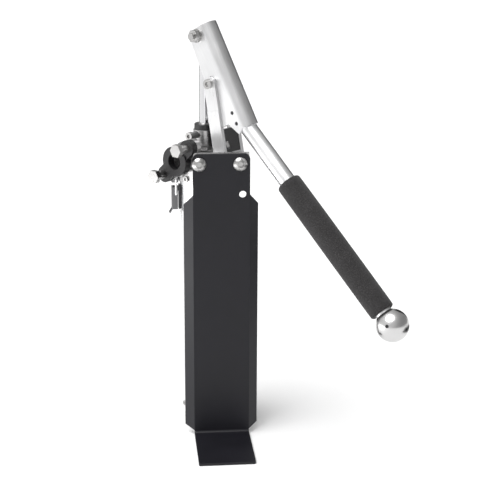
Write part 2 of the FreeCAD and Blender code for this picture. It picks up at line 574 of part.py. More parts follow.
# ---------------------------------------------------------------- intake and foot valve
def make_intake():
    base = Placement(tube_axis, Rotation())
    seat = s.tube_low + s.intake_seat_tall
    outline = [("valve_hole_dia / 2", "tube_low"),
               ("tube_dia / 2 - tube_wall - seat_clearance", "tube_low"),
               ("tube_dia / 2 - tube_wall - seat_clearance", "tube_low + intake_tall"),
               ("tube_dia / 2 - tube_wall - intake_wall", "tube_low + intake_tall"),
               ("tube_dia / 2 - tube_wall - intake_wall", "tube_low + intake_seat_tall"),
               ("valve_hole_dia / 2", "tube_low + intake_seat_tall")]
    body = turned(outline)
    body.Placement = base
    holes = [rod("intake_screw_dia / 4", "intake_wall * 1.5", place)
             for place in around(s.intake_screw_count, SCREW_START, tube_inside - s.intake_wall * 0.8,
                                 s.intake_screw_up)]
    node("intake_body", cut(body, *holes))
    ring_radius = "intake_ring_dia / 2"
    foot = ring(ring_radius, "intake_ring_dia / 2 - intake_leg_wide", "intake_ring_tall", base)
    legs = []
    for index in range(int(s.intake_leg_count)):
        turn = Rotation(Z_AXIS, 360.0 / s.intake_leg_count * (index + 0.5))
        spot = turn.multVec(Vector(s.intake_ring_dia / 2 - s.intake_leg_wide / 2, 0, 0))
        legs.append(box("intake_leg_wide", "intake_leg_wide", "tube_low",
                        Placement(tube_axis + spot, turn)))
    curved = rod(ring_radius, "tube_low", base)
    node("intake_foot", fuse(foot, common(fuse(*legs), curved)))
    disc = [("0", "0"), ("valve_disc_dia / 2", "0"), ("valve_disc_dia / 2", "valve_disc_thick - 1"),
            ("valve_disc_dia / 2 - 1", "valve_disc_thick"), ("valve_stem_dia / 2", "valve_disc_thick"),
            ("valve_stem_dia / 2", "valve_disc_thick * 2"), ("0", "valve_disc_thick * 2")]
    node("foot_valve_disc", turned(disc), Placement(tube_axis + Vector(0, 0, seat), Rotation()))
    cage_low = seat + s.valve_disc_thick + s.valve_lift + s.seat_clearance
    cage = ring("tube_dia / 2 - tube_wall - intake_wall - seat_clearance", "valve_disc_dia / 2 - cage_rim",
                "cage_thick", Placement(tube_axis + Vector(0, 0, cage_low), Rotation()))
    spokes = [box("(tube_dia / 2 - tube_wall - intake_wall) * 2 - 2", "cage_spoke", "cage_thick",
                  Placement(tube_axis + Vector(0, 0, cage_low), Rotation(Z_AXIS, angle)))
              for angle in (0, 90)]
    guide = rod("valve_stem_dia / 2 + cage_hub", "cage_thick",
                Placement(tube_axis + Vector(0, 0, cage_low), Rotation()))
    hole = rod("valve_stem_dia / 2 + rod_clearance", "cage_thick",
               Placement(tube_axis + Vector(0, 0, cage_low), Rotation()))
    node("valve_keeper", cut(fuse(cage, guide, *spokes), hole))
    screws = []
    for place in around(s.intake_screw_count, SCREW_START, tube_radius, s.intake_screw_up):
        head = rod("intake_screw_dia / 2", "intake_screw_tall", place)
        shank = rod("intake_screw_dia / 4 - thread_gap", "tube_wall + intake_wall * 0.7",
                    place * Placement(Vector(0, 0, -s.tube_wall - s.intake_wall * 0.7), Rotation()))
        key = hexagon("intake_screw_dia * 0.5", "intake_screw_tall",
                      place * Placement(Vector(0, 0, s.intake_screw_tall * KEY_START), Rotation()))
        screws.append(cut(fuse(head, shank), key))
    node("intake_screws", group(*screws))


# ---------------------------------------------------------------- rod and piston
def make_rod():
    low = "piston_up - rod_nut_tall - rod_tail"
    top = s.pin_a_up - s.eye_neck_tall
    outline = [("0", low), ("rod_dia / 2 - 1", low), ("rod_dia / 2", low + " + 1"),
               ("rod_dia / 2", "pin_a_up - eye_neck_tall"), ("0", "pin_a_up - eye_neck_tall")]
    node("piston_rod", turned(outline), Placement(tube_axis, Rotation()))
    eye = rod("eye_dia / 2", "eye_thick", arm(0, s.eye_thick / 2, s.pin_a_up, ACROSS))
    neck = common(rod("eye_neck_dia / 2", "eye_neck_tall", arm(0, 0, top)),
                  box("eye_dia", "eye_thick", "eye_neck_tall", arm(0, 0, top)))
    hole = rod("pin_a_dia / 2 + run_clearance", "eye_thick * 2", arm(0, s.eye_thick, s.pin_a_up, ACROSS))
    node("rod_eye", cut(fuse(eye, neck), hole))
    stop_low = chamber_top - s.stop_gap - s.stop_tall
    node("rod_stop", ring("stop_dia / 2", "rod_dia / 2", "stop_tall",
                          Placement(tube_axis + Vector(0, 0, stop_low), Rotation())))


def make_piston():
    base = tube_axis + Vector(0, 0, s.piston_up)
    reach = "tube_dia / 2 - tube_wall - piston_gap"
    plate = ring(reach + " - piston_rim", "rod_dia / 2", "piston_plate_thick", Placement(base, Rotation()))
    ports = []
    for index in range(int(s.piston_port_count)):
        spot = Rotation(Z_AXIS, 360.0 / s.piston_port_count * index).multVec(Vector(s.piston_port_out, 0,
                                                                                    0))
        ports.append(rod("piston_port_dia / 2", "piston_plate_thick", Placement(base + spot, Rotation())))
    node("piston_plate", cut(plate, *ports))
    cup = [("rod_dia / 2", "-cup_thick"), (reach + " - cup_wall", "-cup_thick"),
           (reach + " - cup_wall", "-cup_thick - cup_lip"),
           (reach, "-cup_thick - cup_lip"), (reach, "0"), ("rod_dia / 2", "0")]
    body = turned(cup)
    body.Placement = Placement(base, Rotation())
    ports = []
    for index in range(int(s.piston_port_count)):
        spot = Rotation(Z_AXIS, 360.0 / s.piston_port_count * index).multVec(Vector(s.piston_port_out, 0,
                                                                                    -s.cup_thick))
        ports.append(rod("piston_port_dia / 2", "cup_thick", Placement(base + spot, Rotation())))
    node("piston_cup", cut(body, *ports))
    flap_base = Placement(base + Vector(0, 0, s.piston_plate_thick), Rotation())
    node("piston_flap", ring("flap_dia / 2", "rod_dia / 2 + rod_clearance", "flap_thick", flap_base))
    keeper = Placement(base + Vector(0, 0, s.piston_plate_thick + s.flap_thick + s.flap_lift + s.flap_rest),
                       Rotation())
    node("flap_keeper", ring("rod_nut_hex / 2 + keeper_rim", "rod_dia / 2", "flap_thick", keeper))
    nut = cut(hexagon("rod_nut_hex", "rod_nut_tall",
                      Placement(base - Vector(0, 0, s.cup_thick + s.rod_nut_tall), Rotation())),
              rod("rod_dia / 2", "rod_nut_tall * 2",
                  Placement(base - Vector(0, 0, s.cup_thick + s.rod_nut_tall * 1.5), Rotation())))
    node("piston_nut", nut)


# ---------------------------------------------------------------- lever
def make_lever_head():
    """A folded channel with a half-round nose; X runs down it, Z points out of the nose."""
    depth = "channel_edge + channel_flare"
    outline = [("0", "0"), ("channel_long", "0"), ("tongue_long", "-tongue_in"),
               ("channel_notch", "-channel_notch_in"), ("channel_notch", f"-({depth})"), ("0",
                                                                                          "-channel_edge")]
    slab = padded(outline, "channel_wide")
    doc.recompute()
    slab_round = doc.addObject("Part::Fillet", "Rounded")
    slab_round.Base = slab
    corner = []
    for number, edge in enumerate(slab.Shape.Edges, start=1):
        middle = edge.CenterOfMass
        if edge.BoundBox.YLength > 1 and abs(middle.x) < 0.5 and abs(middle.z + s.channel_edge) < 0.5:
            corner.append(number)
    slab_round.Edges = [(number, s.channel_corner, s.channel_corner) for number in corner]
    nose = rod("channel_wide / 2", "channel_long", Placement(Vector(0, 0, 0), Rotation(Y_AXIS, 90)))
    hollow = rod("channel_wide / 2 - channel_wall", "tongue_long * 1.2",
                 Placement(Vector(-s.channel_wall, 0, 0), Rotation(Y_AXIS, 90)))
    gap = box("tongue_long * 1.2", "channel_wide - 2 * channel_wall", "channel_edge * 2",
              Placement(Vector(-s.channel_wall, 0, -s.channel_edge * 2), Rotation()), "y")
    tools = [hollow, gap]
    tools.append(rod("pin_a_dia / 2 + run_clearance", "channel_wide * 2",
                     Placement(Vector(s.pin_a_down, s.channel_wide, -s.pin_a_in), ACROSS)))
    tools.append(rod("pin_b_dia / 2 + bush_wall", "channel_wide * 2",
                     Placement(Vector(s.pin_b_down, s.channel_wide, -s.pin_b_in), ACROSS)))
    for down in (s.set_screw_one, s.set_screw_two):
        tools.append(rod("set_screw_dia / 2", "channel_wide / 2",
                         Placement(Vector(down, 0, -s.set_screw_in), ACROSS)))
    node("lever_head", cut(fuse(slab_round, nose), *tools), lever_frame)
    screws = []
    for down in (s.set_screw_one, s.set_screw_two):
        face = s.channel_wide / 2 - s.set_screw_sunk
        inner = s.handle_dia / 2 + s.set_screw_gap
        screw = rod("set_screw_dia / 2 - thread_gap",
                    "channel_wide / 2 - set_screw_sunk - handle_dia / 2 - set_screw_gap",
                    Placement(Vector(down, -inner, -s.set_screw_in), ACROSS))
        key = hexagon("set_screw_dia * 0.5", "channel_wall",
                      Placement(Vector(down, -face + s.set_key_deep, -s.set_screw_in), ACROSS))
        screws.append(cut(screw, key))
    node("lever_set_screws", group(*screws), lever_frame)


def make_handle():
    straight = "channel_long + bend_past - handle_start"
    up_turn = Rotation(Y_AXIS, 180 + s.handle_bend)

    def tube(radius, extra):
        lower = rod(radius, f"handle_long - knob_dia / 2 + knob_socket + {extra}", Placement())
        elbow = ball(radius, Placement())
        upper = rod(radius, f"{straight} + {extra}", Placement(Vector(), up_turn))
        return fuse(lower, elbow, upper)

    pipe = cut(tube("handle_dia / 2", 0), tube("handle_dia / 2 - handle_wall", 1))
    node("handle_tube", pipe, handle_frame)
    far = "handle_long - knob_dia / 2 - knob_gap"
    grip = [("handle_dia / 2 + grip_clearance", "grip_start"), ("grip_dia / 2 - grip_corner", "grip_start"),
            ("grip_dia / 2", "grip_start + grip_corner"), ("grip_dia / 2", far + " - grip_corner"),
            ("grip_dia / 2 - grip_corner", far), ("handle_dia / 2 + grip_clearance", far)]
    node("foam_grip", turned(grip), handle_frame)
    knob = cut(ball("knob_dia / 2", Placement(Vector(0, 0, s.handle_long), Rotation())),
               rod("handle_dia / 2 + grip_clearance", "knob_dia",
                   Placement(Vector(0, 0, s.handle_long - s.knob_dia * 1.5 + s.knob_socket), Rotation())))
    sideways = Rotation(Z_AXIS, s.knob_screw_turn) * Rotation(Y_AXIS, 90)
    screw_place = Placement(Vector(0, 0, s.handle_long), sideways)
    shaft = rod("knob_screw_dia / 2 + 0.1", "knob_dia", screw_place)
    node("ball_knob", cut(knob, shaft), handle_frame)
    screw_spot = screw_place * Placement(Vector(0, 0, s.knob_dia / 2 - s.knob_screw_deep), Rotation())
    key_spot = screw_spot * Placement(Vector(0, 0, s.knob_screw_long - s.knob_key_deep), Rotation())
    key = hexagon("knob_screw_dia * 0.5", "knob_screw_long", key_spot)
    screw = cut(rod("knob_screw_dia / 2", "knob_screw_long", screw_spot), key)
    node("knob_set_screw", screw, handle_frame)


def make_pin_a():
    """The bolt through both cheeks and the rod's eye, head at the back, nut at the front."""
    out = cheek_out + s.washer_thick
    head = hexagon("bolt_a_hex", "bolt_a_head", arm(0, out + s.bolt_a_head, s.pin_a_up, ACROSS))
    shank = rod("pin_a_dia / 2", "channel_wide + 2 * washer_thick + bolt_a_nut + bolt_a_tail",
                arm(0, out, s.pin_a_up, ACROSS))
    node("rod_pin_bolt", fuse(head, shank))
    nut = cut(hexagon("bolt_a_hex", "bolt_a_nut", arm(0, -out, s.pin_a_up, ACROSS)),
              rod("pin_a_dia / 2", "bolt_a_nut", arm(0, -out, s.pin_a_up, ACROSS)))
    node("rod_pin_nut", nut)
    washers = [ring("washer_dia / 2", "pin_a_dia / 2 + run_clearance", "washer_thick",
                    arm(0, across, s.pin_a_up, ACROSS))
               for across in (out, -cheek_out)]
    gap = "channel_wide / 2 - channel_wall - eye_thick / 2 - seat_clearance * 2"
    inner = s.channel_wide / 2 - s.channel_wall - s.seat_clearance
    node("rod_pin_washers", group(*washers))
    shims = [ring("eye_dia / 2 - 2", "pin_a_dia / 2 + run_clearance", gap,
                  arm(0, across, s.pin_a_up, ACROSS))
             for across in (inner, -s.eye_thick / 2 - s.seat_clearance)]
    node("rod_pin_shims", group(*shims))


def make_pin_b():
    bush = ring("pin_b_dia / 2 + bush_wall", "pin_b_dia / 2", "channel_wide",
                arm(pin_b.x, cheek_out, pin_b.z, ACROSS))
    node("link_bush", bush)
    pin = rod("pin_b_dia / 2", "channel_wide", arm(pin_b.x, cheek_out, pin_b.z, ACROSS))
    node("link_pin", pin)


# ---------------------------------------------------------------- link
def make_link():
    """Two bars outside the lever's cheeks; X runs across a bar, Z from the lower pivot to the upper one."""
    for label, side in (("link_near", -1), ("link_far", 1)):
        start = link_out if side > 0 else -link_in
        bar = box("link_wide", "link_thick", str(round(link_long, 4)),
                  Placement(Vector(0, start - s.link_thick, 0), Rotation()), "x")
        ends = [rod("link_wide / 2", "link_thick", Placement(Vector(0, start, up), ACROSS))
                for up in (0, link_long)]
        relief = box("link_wide * 2", "link_relief", "link_wide * 4",
                     Placement(Vector(0, link_out - s.link_relief if side > 0 else -link_out, s.link_step),
                               Rotation()), "x")
        hole_c = rod("pin_c_dia / 2 + run_clearance", "link_thick * 3",
                     Placement(Vector(0, start + s.link_thick, 0), ACROSS))
        hole_b = rod("pin_b_dia / 2", "link_thick * 3",
                     Placement(Vector(0, start + s.link_thick, link_long), ACROSS))
        node(label, cut(fuse(bar, *ends), relief, hole_c, hole_b), link_frame)
    edge = s.link_wide / 2 - s.link_relief
    block = box("link_block_wide", "channel_wide + 2 * link_gap", "link_block_tall",
                Placement(Vector(edge - s.link_block_wide, 0, s.link_block_low), Rotation()), "y")
    slot_turn = Rotation(Z_AXIS, 180 + s.arm_turn) * ACROSS
    slot_start = Vector(edge + s.link_slot_wide, s.link_slot_across - s.link_slot_wide, s.link_slot_up)
    slot = [rod("link_slot_wide / 2", "channel_wide * 1.5",
                Placement(slot_start + Vector(-up * s.link_slot_lean, 0, up), slot_turn))
            for up in (0, s.link_slot_tall / 3, s.link_slot_tall / 1.5, s.link_slot_tall)]
    node("link_spacer", cut(block, *slot), link_frame)
    heads = []
    for side in (-1, 1):
        face = link_out - s.link_relief
        near = -face if side < 0 else face + s.bolt_b_tall
        head = rod("bolt_b_dia / 2", "bolt_b_tall", Placement(Vector(0, near, link_long), ACROSS))
        stub_start = -link_in - s.bolt_step if side < 0 else face
        stub = rod("pin_b_dia / 2 - thread_gap", "link_thick - link_relief - bolt_step",
                   Placement(Vector(0, stub_start, link_long), ACROSS))
        key_start = -face - s.bolt_b_tall * 0.5 if side < 0 else face + s.bolt_b_tall * 1.5
        key = hexagon("bolt_b_dia * 0.45", "bolt_b_tall",
                      Placement(Vector(0, key_start, link_long), ACROSS))
        heads.append(cut(fuse(head, stub), key))
    node("link_bolts", group(*heads), link_frame)


def make_pin_c():
    shank = rod("pin_c_dia / 2", "channel_wide + 2 * (link_gap + link_thick + seat_clearance)",
                arm(pin_c.x, link_out + s.seat_clearance, pin_c.z, ACROSS))
    far_head = rod("pin_c_head_dia / 2", "pin_c_head_tall",
                   arm(pin_c.x, link_out + s.seat_clearance + s.pin_c_head_tall, pin_c.z, ACROSS))
    near_head = rod("pin_c_head_dia / 2", "pin_c_head_tall",
                    arm(pin_c.x, -link_out - s.seat_clearance, pin_c.z, ACROSS))
    node("pivot_bolt", fuse(shank, far_head, near_head))


# ---------------------------------------------------------------- toggle latches
def make_latch(label, side):
    """A draw latch on the tube's side; X points away from the tube."""
    frame = Placement(tube_axis + Vector(side * tube_radius, 0, s.latch_up),
                      Rotation(Z_AXIS, 0 if side > 0 else 180))

    def local(x, y, z, turn=Rotation()):
        return frame * Placement(Vector(x, y, z), turn)

    pivot_x = s.latch_pin_out
    base = box("latch_base_thick", "latch_wide - 2 * latch_inset", "latch_base_tall",
               local(0, 0, -s.latch_base_tall + s.latch_base_over), "y")
    ears = []
    for across in (-1, 1):
        middle = across * (s.latch_wide / 2 - s.latch_inset - s.latch_ear_thick / 2)
        ears.append(box("latch_ear_out", "latch_ear_thick", "latch_ear_tall",
                        local(s.latch_base_thick - s.latch_weld, middle, -s.latch_ear_tall / 2), "y"))
    saddle = rod("tube_dia / 2", "latch_base_tall * 2",
                 Placement(tube_axis + Vector(0, 0, s.latch_up - s.latch_base_tall * 1.5), Rotation()))
    holes = rod("latch_pin_dia / 2", "latch_wide * 2", local(pivot_x, s.latch_wide, 0, ACROSS))
    node(f"latch_base_{label}", cut(fuse(base, *ears), saddle, holes))

    pin = rod("latch_pin_dia / 2 - run_clearance", "latch_wide",
              local(pivot_x, s.latch_wide / 2, 0, ACROSS))
    plate_x = s.latch_base_thick + s.latch_ear_out + s.latch_plate_out
    plate = box("latch_lever_thick", "latch_wide", "latch_lever_long + latch_heel",
                local(plate_x, 0, -s.latch_lever_long), "y")
    cheeks = []
    for across in (-1, 1):
        middle = across * (s.latch_wide / 2 - s.latch_ear_thick / 2)
        cheeks.append(box("latch_cheek", "latch_ear_thick", "latch_lever_long + latch_heel",
                          local(plate_x - s.latch_cheek + s.latch_weld, middle, -s.latch_lever_long), "y"))
    tip = box("latch_lever_thick", "latch_wide - latch_tip_inset", "latch_tip",
              local(plate_x + s.latch_lever_thick, 0, s.latch_weld - s.latch_lever_long,
                    Rotation(Y_AXIS, 180 - s.latch_tip_turn)), "y")
    hole = rod("latch_wire / 2 + latch_fit / 2", "latch_wide * 2",
               local(pivot_x - s.latch_hook_in, s.latch_wide, -s.latch_throw, ACROSS))
    node(f"latch_lever_{label}", cut(fuse(pin, plate, tip, *cheeks), hole))

    wire = "latch_wire / 2"
    reach = s.latch_wide / 2 + s.latch_wire / 2 + s.latch_gap
    hook = local(pivot_x - s.latch_hook_in, 0, -s.latch_throw)
    cross = rod(wire, "latch_wide + 2 * latch_gap + latch_wire",
                hook * Placement(Vector(0, reach, 0), ACROSS))
    legs = [rod(wire, "latch_bail_tall", hook * Placement(Vector(0, across * reach, 0), Rotation()))
            for across in (-1, 1)]
    top = rod(wire, "latch_wide + 2 * latch_gap + latch_wire",
              hook * Placement(Vector(0, reach, s.latch_bail_tall), ACROSS))
    knees = [ball(wire, hook * Placement(Vector(0, across * reach, up), Rotation())) for across in (-1, 1)
             for up in (0, s.latch_bail_tall)]
    node(f"latch_bail_{label}", fuse(cross, top, *legs, *knees))

    strike_top = s.latch_up - s.latch_throw + s.latch_bail_tall - s.latch_wire / 2 - s.latch_play
    strike = box("head_wall + latch_strike_deep", "latch_wide - latch_inset", "latch_strike_tall",
                 frame * Placement(Vector(0, 0, strike_top - s.latch_strike_tall - s.latch_up), Rotation()),
                 "y")
    wall = rod("tube_dia / 2 + head_wall", "latch_strike_tall * 3",
               Placement(tube_axis + Vector(0, 0, strike_top - s.latch_strike_tall * 2), Rotation()))
    node(f"latch_strike_{label}", cut(strike, wall))


make_foot_plate()
make_mount_bar()
make_plate_screws()
make_pump_tube()
make_head_block()
make_gland()
make_head_fasteners()
make_outlet()
make_intake()
make_rod()
make_piston()
make_lever_head()
make_handle()
make_pin_a()
make_pin_b()
make_link()
make_pin_c()
for latch_label, latch_side in (("left", -1), ("right", 1)):
    make_latch(latch_label, latch_side)

doc.recompute()
for item in doc.Objects:
    if "Invalid" in item.State or "Error" in item.State:
        raise RuntimeError(f"{item.Name} ({item.Label}) failed: {item.State}")
for item in nodes:
    if item.Shape.isNull() or not item.Shape.isValid() or not item.Shape.Solids:
        raise RuntimeError(f"{item.Label} has no valid solid")
os.makedirs("parts", exist_ok=True)
for item in nodes:
    item.Shape.exportStep(f"parts/{item.Label}.step")
    print(f"{item.Label}: {len(item.Shape.Solids)} solid(s), {item.Shape.Volume / 1000:.1f} cm3")
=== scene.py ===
# %% [markdown]
# # A hand-operated filling pump, from metal to foam
# The pump stands on a folded black foot plate. A bright tube behind the plate holds the piston, a lever
# on two link bars works the rod, and the long handle ends in a foam grip and a turned ball.
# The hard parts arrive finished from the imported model. What is left to do here is what a finisher does:
# give each metal its own surface, cut the soft grip as its own piece, and set up a small studio.

import json
import math

import bmesh
import bpy
from mathutils import Matrix, Vector


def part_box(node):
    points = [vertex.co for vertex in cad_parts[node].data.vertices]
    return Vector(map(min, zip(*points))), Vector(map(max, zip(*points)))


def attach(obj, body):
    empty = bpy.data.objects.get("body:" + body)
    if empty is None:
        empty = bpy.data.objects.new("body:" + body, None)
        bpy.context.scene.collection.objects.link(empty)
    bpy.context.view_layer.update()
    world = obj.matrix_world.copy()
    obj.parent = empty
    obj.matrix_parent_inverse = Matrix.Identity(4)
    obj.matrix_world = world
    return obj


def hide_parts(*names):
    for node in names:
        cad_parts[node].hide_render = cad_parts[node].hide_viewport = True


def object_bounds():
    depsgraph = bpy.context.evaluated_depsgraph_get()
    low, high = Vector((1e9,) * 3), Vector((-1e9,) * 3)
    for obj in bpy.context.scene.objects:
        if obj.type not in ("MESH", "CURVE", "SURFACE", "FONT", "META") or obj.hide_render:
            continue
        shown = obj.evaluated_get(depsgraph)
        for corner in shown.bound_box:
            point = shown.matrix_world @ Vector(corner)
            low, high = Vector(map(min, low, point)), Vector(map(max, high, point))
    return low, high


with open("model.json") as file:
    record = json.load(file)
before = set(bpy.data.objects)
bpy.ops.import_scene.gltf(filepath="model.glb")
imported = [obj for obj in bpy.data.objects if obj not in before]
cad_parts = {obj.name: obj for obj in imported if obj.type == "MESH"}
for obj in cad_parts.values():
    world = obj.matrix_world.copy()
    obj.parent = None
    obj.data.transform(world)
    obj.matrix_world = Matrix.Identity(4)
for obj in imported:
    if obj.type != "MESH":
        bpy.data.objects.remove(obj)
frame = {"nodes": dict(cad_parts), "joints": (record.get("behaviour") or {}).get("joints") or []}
cad_low, cad_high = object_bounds()
nodes = frame["nodes"]
joints = {joint["name"]: joint for joint in frame["joints"]}
print("model stands", round(cad_high.z - cad_low.z, 3), "m tall with", len(nodes), "parts")

MM = 0.001

# %% [markdown]
# Most of the finishes below are arithmetic on patterns: so much of a streak plus so much of a smudge.
# Wiring every sum by hand hides the idea, so a small class wraps a socket and turns Python's own
# operators into Math nodes. A second class holds one material and has a single method for every
# other kind of node.

# %% A socket that can be added and multiplied
class Wire:
    """An output socket in a recipe; each operator adds one Math node."""

    def __init__(self, recipe, socket):
        self.recipe = recipe
        self.socket = socket

    def maths(self, operation, first, second):
        return self.recipe.add("ShaderNodeMath", {"operation": operation}, {0: first, 1: second})

    def __add__(self, other):
        return self.maths("ADD", self, other)

    def __radd__(self, other):
        return self.maths("ADD", other, self)

    def __mul__(self, other):
        return self.maths("MULTIPLY", self, other)

    def __rmul__(self, other):
        return self.maths("MULTIPLY", other, self)


# %% One material and its nodes
class Recipe:
    """A material with a Principled shader, its constants set on the shader's own sockets."""

    def __init__(self, name, **constants):
        self.material = bpy.data.materials.new(name)
        self.material.use_nodes = True
        self.tree = self.material.node_tree
        self.shader = self.tree.nodes["Principled BSDF"]
        for label, value in constants.items():
            self.shader.inputs[label.replace("_", " ")].default_value = value

    def add(self, kind, settings=None, sockets=None, output=0):
        """Adds a node of this kind: its settings first, then its sockets' values or links."""
        node = self.tree.nodes.new(kind)
        for label, value in (settings or {}).items():
            if label == "stops":
                self.set_stops(node.color_ramp, value)
            else:
                setattr(node, label, value)
        for label, value in (sockets or {}).items():
            self.feed(node.inputs[label], value)
        return Wire(self, node.outputs[output])

    def feed(self, socket, value):
        if isinstance(value, Wire):
            self.tree.links.new(value.socket, socket)
        else:
            socket.default_value = value

    def set_stops(self, ramp, stops):
        while len(ramp.elements) < len(stops):
            ramp.elements.new(0.5)
        for element, (place, colour) in zip(ramp.elements, stops):
            element.position = place
            element.color = (*colour, 1.0)

    def drive(self, **wires):
        """Links patterns to the shader's sockets."""
        for label, wire in wires.items():
            self.feed(self.shader.inputs[label.replace("_", " ")], wire)
        return self.material


# %% [markdown]
# Every pattern starts from a place on the piece. Object coordinates are metres here, since each piece
# sits at the origin, so a scale of 1000 gives grains of about a millimetre. Brushing and turning need
# those coordinates turned so that the tool's own direction is Z, which a Mapping node does.

# %% Places, grains and streaks
def place(recipe, turn=(0.0, 0.0, 0.0), centre=(0.0, 0.0, 0.0)):
    """Object coordinates, moved to `centre` and turned so that the working direction is Z."""
    raw = recipe.add("ShaderNodeTexCoord", output=3)
    if turn == (0.0, 0.0, 0.0) and centre == (0.0, 0.0, 0.0):
        return raw
    settings = {"vector_type": "TEXTURE"}
    return recipe.add("ShaderNodeMapping", settings, {"Vector": raw, "Location": centre, "Rotation": turn})


def stretched(recipe, where, scale):
    """The same place with its axes scaled, which draws a grain out into a streak."""
    settings = {"operation": "MULTIPLY"}
    return recipe.add("ShaderNodeVectorMath", settings, {0: where, 1: scale})


def grain(recipe, where, scale, detail=3.0, roughness=0.55):
    sockets = {"Vector": where, "Scale": scale, "Detail": detail, "Roughness": roughness}
    return recipe.add("ShaderNodeTexNoise", {}, sockets)


def ramp(recipe, wire, stops):
    return recipe.add("ShaderNodeValToRGB", {"stops": stops}, {"Fac": wire})


def between(recipe, wire, low, high):
    """Carries a 0 to 1 pattern over to a range, straight and clamped."""
    sockets = {"Value": wire, "From Min": 0.25, "From Max": 0.75, "To Min": low, "To Max": high}
    return recipe.add("ShaderNodeMapRange", {"clamp": True}, sockets)


def relief(recipe, height, distance, strength=0.5, edge=0.0):
    """A bump; `edge` rounds the sharp corners of a machined part by that radius."""
    sockets = {"Height": height, "Distance": distance, "Strength": strength}
    if edge:
        soft = recipe.add("ShaderNodeBevel", {"samples": 6}, {"Radius": edge})
        sockets["Normal"] = soft
    return recipe.add("ShaderNodeBump", {}, sockets)


# %% [markdown]
# Powder coat is a baked plastic skin. It is never quite smooth: it has a fine orange peel, a slow
# drift in gloss where the gun passed, and a slightly paler, rubbed film along handled edges. Noise at
# two scales gives all three, and the coat's own gloss comes from roughness rather than a clear coat.

# %% Powder coat for the folded plate
def powder_coat(name, tint, gloss, peel):
    recipe = Recipe(name, Metallic=0.0, Specular_IOR_Level=0.32)
    here = place(recipe)
    drift = grain(recipe, here, 14.0, 2.0)
    speck = grain(recipe, here, 1500.0, 2.0)
    shade = drift * 0.7 + speck * 0.3
    low = tuple(0.8 * part for part in tint)
    high = tuple(1.2 * part for part in tint)
    colour = ramp(recipe, shade, [(0.3, low), (0.7, high)])
    rough = between(recipe, drift, gloss - 0.04, gloss + 0.05)
    skin = relief(recipe, grain(recipe, here, 620.0, 2.0) + speck * 0.4, 0.00012 * peel, 0.5, 0.5 * MM)
    return recipe.drive(Base_Color=colour, Roughness=rough, Normal=skin)


PLATE_BLACK = (0.0075, 0.0073, 0.0105)
CASTING_BLACK = (0.016, 0.0155, 0.0165)
plate_coat = powder_coat("plate_powder_coat", PLATE_BLACK, 0.42, 1.0)
casting_coat = powder_coat("flange_black_coat", CASTING_BLACK, 0.36, 2.2)
print("powder coats:", plate_coat.name, casting_coat.name)


# %% [markdown]
# A metal's surface tells how it was worked. Drawn or brushed stock has long scratches one way, a turned
# part has rings round its axis, and a cast one has a fine skin. One function makes all of them: it
# takes the direction of work and how far the grain is drawn out along it.

# %% Worked metals
def worked_metal(name, tint, gloss, turn=(0.0, 0.0, 0.0), centre=(0.0, 0.0, 0.0),
                 draw=(900.0, 900.0, 12.0), depth=0.00004, smudge=18.0, edge=0.35 * MM):
    """A metal whose scratches are `draw` fine along each axis of its own turned frame."""
    recipe = Recipe(name, Metallic=1.0)
    here = place(recipe, turn, centre)
    scratch = grain(recipe, stretched(recipe, here, draw), 1.0, 4.0, 0.6)
    film = grain(recipe, here, smudge, 3.0)
    colour_mix = scratch * 0.55 + film * 0.45
    low = tuple(0.86 * part for part in tint)
    high = tuple(min(1.0, 1.06 * part) for part in tint)
    colour = ramp(recipe, colour_mix, [(0.3, low), (0.7, high)])
    rough = between(recipe, scratch * 0.5 + film * 0.5, gloss * 0.75, gloss * 1.3)
    skin = relief(recipe, scratch, depth, 0.5, edge)
    return recipe.drive(Base_Color=colour, Roughness=rough, Normal=skin)


def turned_metal(name, tint, gloss, turn=(0.0, 0.0, 0.0), centre=(0.0, 0.0, 0.0),
                 pitch=2200.0, depth=0.00005, edge=0.3 * MM):
    """A metal turned on a lathe: its rings follow the height along the axis of the turned frame."""
    return worked_metal(name, tint, gloss, turn, centre, (12.0, 12.0, pitch), depth, 25.0, edge)


SATIN = (0.72, 0.72, 0.725)
BRIGHT = (0.86, 0.862, 0.868)
MACHINED = (0.5, 0.495, 0.495)
STEEL = (0.46, 0.455, 0.45)
LINK_SATIN = (0.7, 0.7, 0.705)
TURNED = (0.66, 0.655, 0.655)
GROUND = (0.66, 0.66, 0.67)
DULL_STEEL = (0.2, 0.2, 0.205)
# Near-black for the blackened set screws, also used as painted shade on the latch base plates.
BLACKENED_AND_SHADE = (0.09, 0.09, 0.095)

# %% [markdown]
# The directions of work come from how the parts stand. The arm's plane is turned 45 degrees from the
# foot plate, the lever leans 29.7 degrees from the vertical in it and the handle's tube is bent 17
# degrees further. The link leans 11 degrees. The rod's axis and the ball's centre come from the model.

# %% The arm's own directions
ARM_TURN = math.radians(45.0)
LEVER_TILT = math.radians(29.7)
HANDLE_TILT = math.radians(29.7 + 17.0)
LINK_LEAN = math.radians(11.0)


def down_the_arm(tilt):
    """A unit vector in the arm's plane, `tilt` from straight down."""
    flat = Vector((math.cos(ARM_TURN), -math.sin(ARM_TURN), 0.0))
    return flat * math.sin(tilt) - Vector((0.0, 0.0, math.cos(tilt)))


def euler_to(direction):
    """The turn that carries +Z to this direction, as a Mapping node wants it."""
    return tuple(direction.to_track_quat("Z", "Y").to_euler("XYZ"))


def middle(node):
    low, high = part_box(node)
    return (low + high) / 2


lever_down = down_the_arm(LEVER_TILT)
handle_down = down_the_arm(HANDLE_TILT)
through_pins = Vector(joints["lever_swing"]["axis"]).normalized()
rod_axis = middle("piston_rod")
ball_centre = middle("ball_knob")
link_up = down_the_arm(math.pi - LINK_LEAN)
print("handle runs along", [round(part, 3) for part in handle_down])

